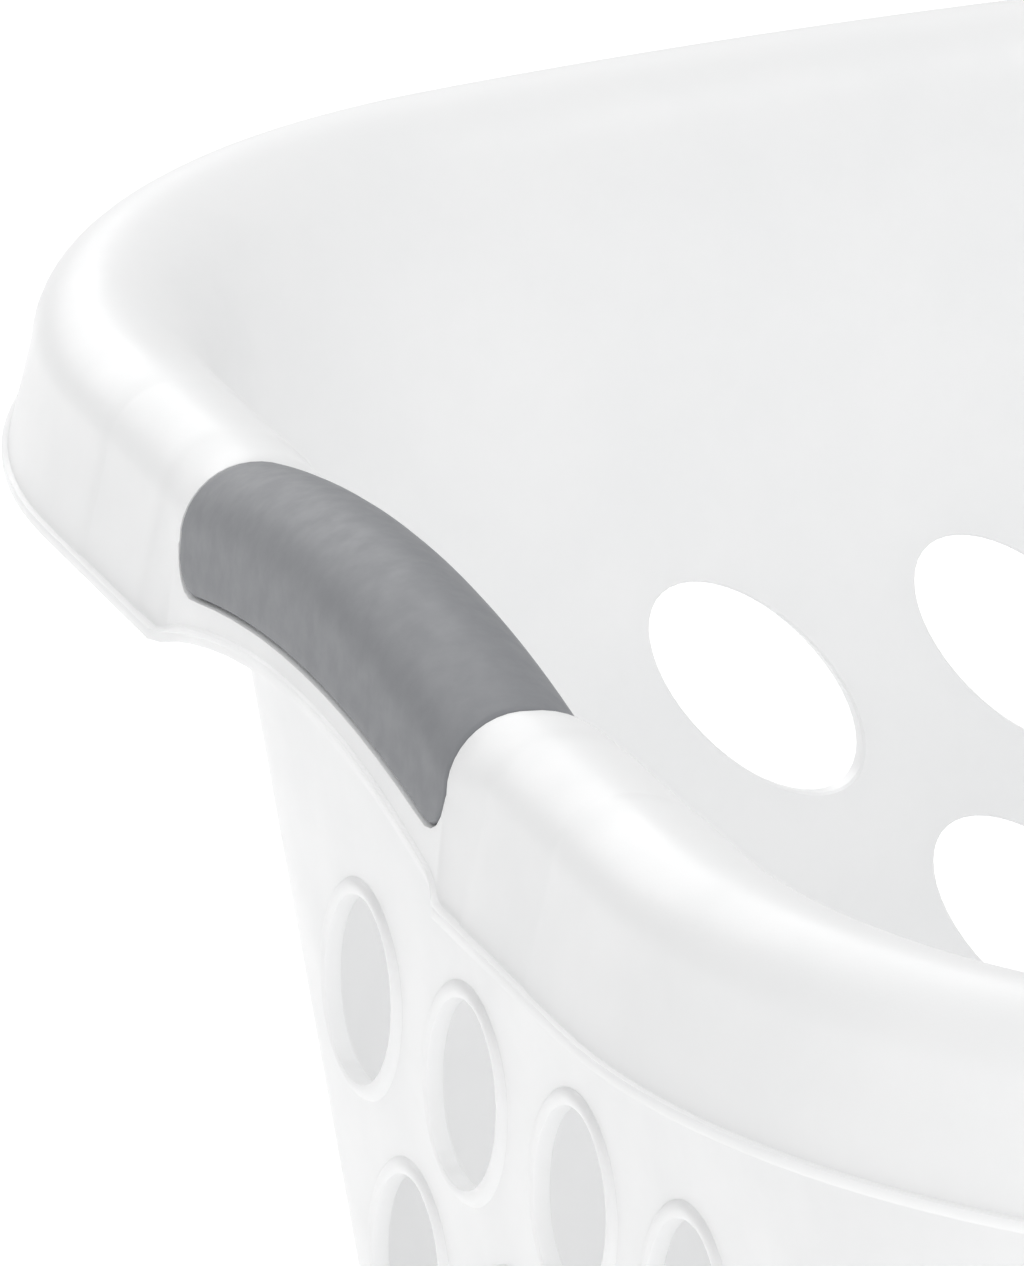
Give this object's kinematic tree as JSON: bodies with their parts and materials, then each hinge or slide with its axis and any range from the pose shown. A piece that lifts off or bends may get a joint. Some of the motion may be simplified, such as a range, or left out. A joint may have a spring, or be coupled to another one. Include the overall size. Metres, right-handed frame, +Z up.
{
  "type": "laundry hamper",
  "caption": "Open, tapered white plastic laundry hamper with slanted oval holes, a rolled rim and soft grey grips on its arched end handles.",
  "frame": {"origin": "middle of the footprint, on the surface that the hamper stands on", "axes": "+Z up, +Y towards the far long side, handles at -X and +X"},
  "size_m": [0.4722, 0.4868, 0.3237],
  "materials": {
    "white_plastic": "satin moulded polypropylene",
    "grey_grip": "satin soft-touch elastomer"
  },
  "bodies": {
    "root": {"base": "white_plastic", "left_end_wall": "white_plastic", "right_end_wall": "white_plastic", "far_side_wall": "white_plastic", "near_side_wall": "white_plastic", "far_left_corner_wall": "white_plastic", "far_right_corner_wall": "white_plastic", "near_left_corner_wall": "white_plastic", "near_right_corner_wall": "white_plastic", "far_side_rim": "white_plastic", "near_side_rim": "white_plastic", "far_left_corner_rim": "white_plastic", "far_right_corner_rim": "white_plastic", "near_left_corner_rim": "white_plastic", "near_right_corner_rim": "white_plastic", "far_left_end_rim": "white_plastic", "far_right_end_rim": "white_plastic", "near_left_end_rim": "white_plastic", "near_right_end_rim": "white_plastic", "left_handle_bar": "white_plastic", "right_handle_bar": "white_plastic", "left_grip": "grey_grip", "right_grip": "grey_grip"}
  },
  "joints": []
}
